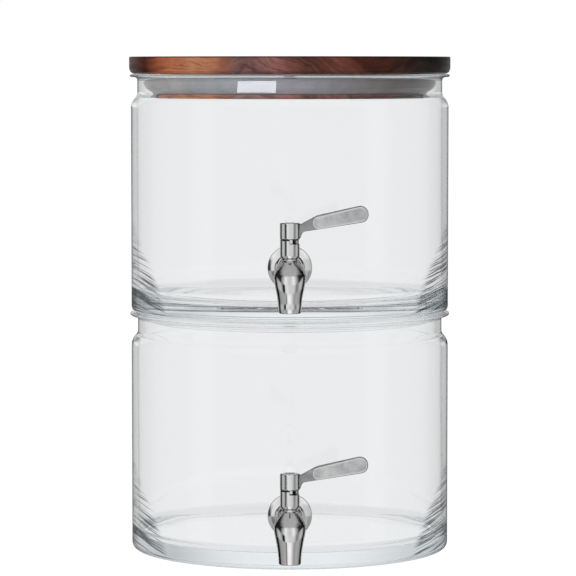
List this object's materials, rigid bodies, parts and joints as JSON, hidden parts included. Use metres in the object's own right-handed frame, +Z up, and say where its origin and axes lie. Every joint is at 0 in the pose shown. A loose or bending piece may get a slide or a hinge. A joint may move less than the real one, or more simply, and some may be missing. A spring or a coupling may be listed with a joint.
{
  "type": "two-tier glass drink and detergent dispenser",
  "caption": "Stacked clear glass jars with polished quarter-turn spigots, wooden lid and silicone gasket, for dispensing liquids.",
  "frame": {"origin": "centre of the plane the lower jar rests on", "axes": "+Z up along the jars' common axis, -Y out of the front where the spigots stand, +X towards the side the closed levers point to"},
  "size_m": [0.2568, 0.3011, 0.3942],
  "materials": {
    "clear_glass": "clear pressed glass, smooth",
    "acacia_wood": "oiled acacia staves, satin",
    "acacia_plug": "oiled acacia, satin",
    "polished_steel": "mirror-polished stainless steel",
    "satin_steel": "satin cast stainless steel",
    "grey_silicone": "translucent grey silicone",
    "clear_silicone": "translucent clear silicone",
    "black_rubber": "matt black nitrile rubber"
  },
  "bodies": {
    "lower_jar": {"lower_jar": "clear_glass", "lower_spigot_body": "polished_steel", "lower_escutcheon": "polished_steel", "lower_outer_seal": "clear_silicone", "lower_inner_seal": "clear_silicone", "lower_flat_washer": "polished_steel", "lower_shank_nut": "polished_steel", "lower_retaining_bush": "polished_steel"},
    "lower_lever": {"lower_lever": "satin_steel", "lower_lever_screw": "polished_steel", "lower_stop_pin": "polished_steel", "lower_valve_plug": "polished_steel", "lower_o_ring_low": "black_rubber", "lower_o_ring_high": "black_rubber"},
    "upper_jar": {"upper_jar": "clear_glass", "upper_spigot_body": "polished_steel", "upper_escutcheon": "polished_steel", "upper_outer_seal": "clear_silicone", "upper_inner_seal": "clear_silicone", "upper_flat_washer": "polished_steel", "upper_shank_nut": "polished_steel", "upper_retaining_bush": "polished_steel"},
    "upper_lever": {"upper_lever": "satin_steel", "upper_lever_screw": "polished_steel", "upper_stop_pin": "polished_steel", "upper_valve_plug": "polished_steel", "upper_o_ring_low": "black_rubber", "upper_o_ring_high": "black_rubber"},
    "lid": {"lid_board": "acacia_wood", "lid_plug": "acacia_plug", "lid_gasket": "grey_silicone"}
  },
  "joints": [
    {"name": "lower_valve_turn", "type": "hinge", "parent": "lower_jar", "child": "lower_lever", "pos_m": [0, -0.153, 0.043], "axis": [0, 0, -1], "range_deg": [0, 90]},
    {"name": "upper_jar_lift", "type": "slide", "parent": "lower_jar", "child": "upper_jar", "axis": [0, 0, 1], "range_m": [0, 0.06]},
    {"name": "upper_valve_turn", "type": "hinge", "parent": "upper_jar", "child": "upper_lever", "pos_m": [0, -0.153, 0.2333], "axis": [0, 0, -1], "range_deg": [0, 90]},
    {"name": "lid_lift", "type": "slide", "parent": "upper_jar", "child": "lid", "axis": [0, 0, 1], "range_m": [0, 0.06]}
  ]
}
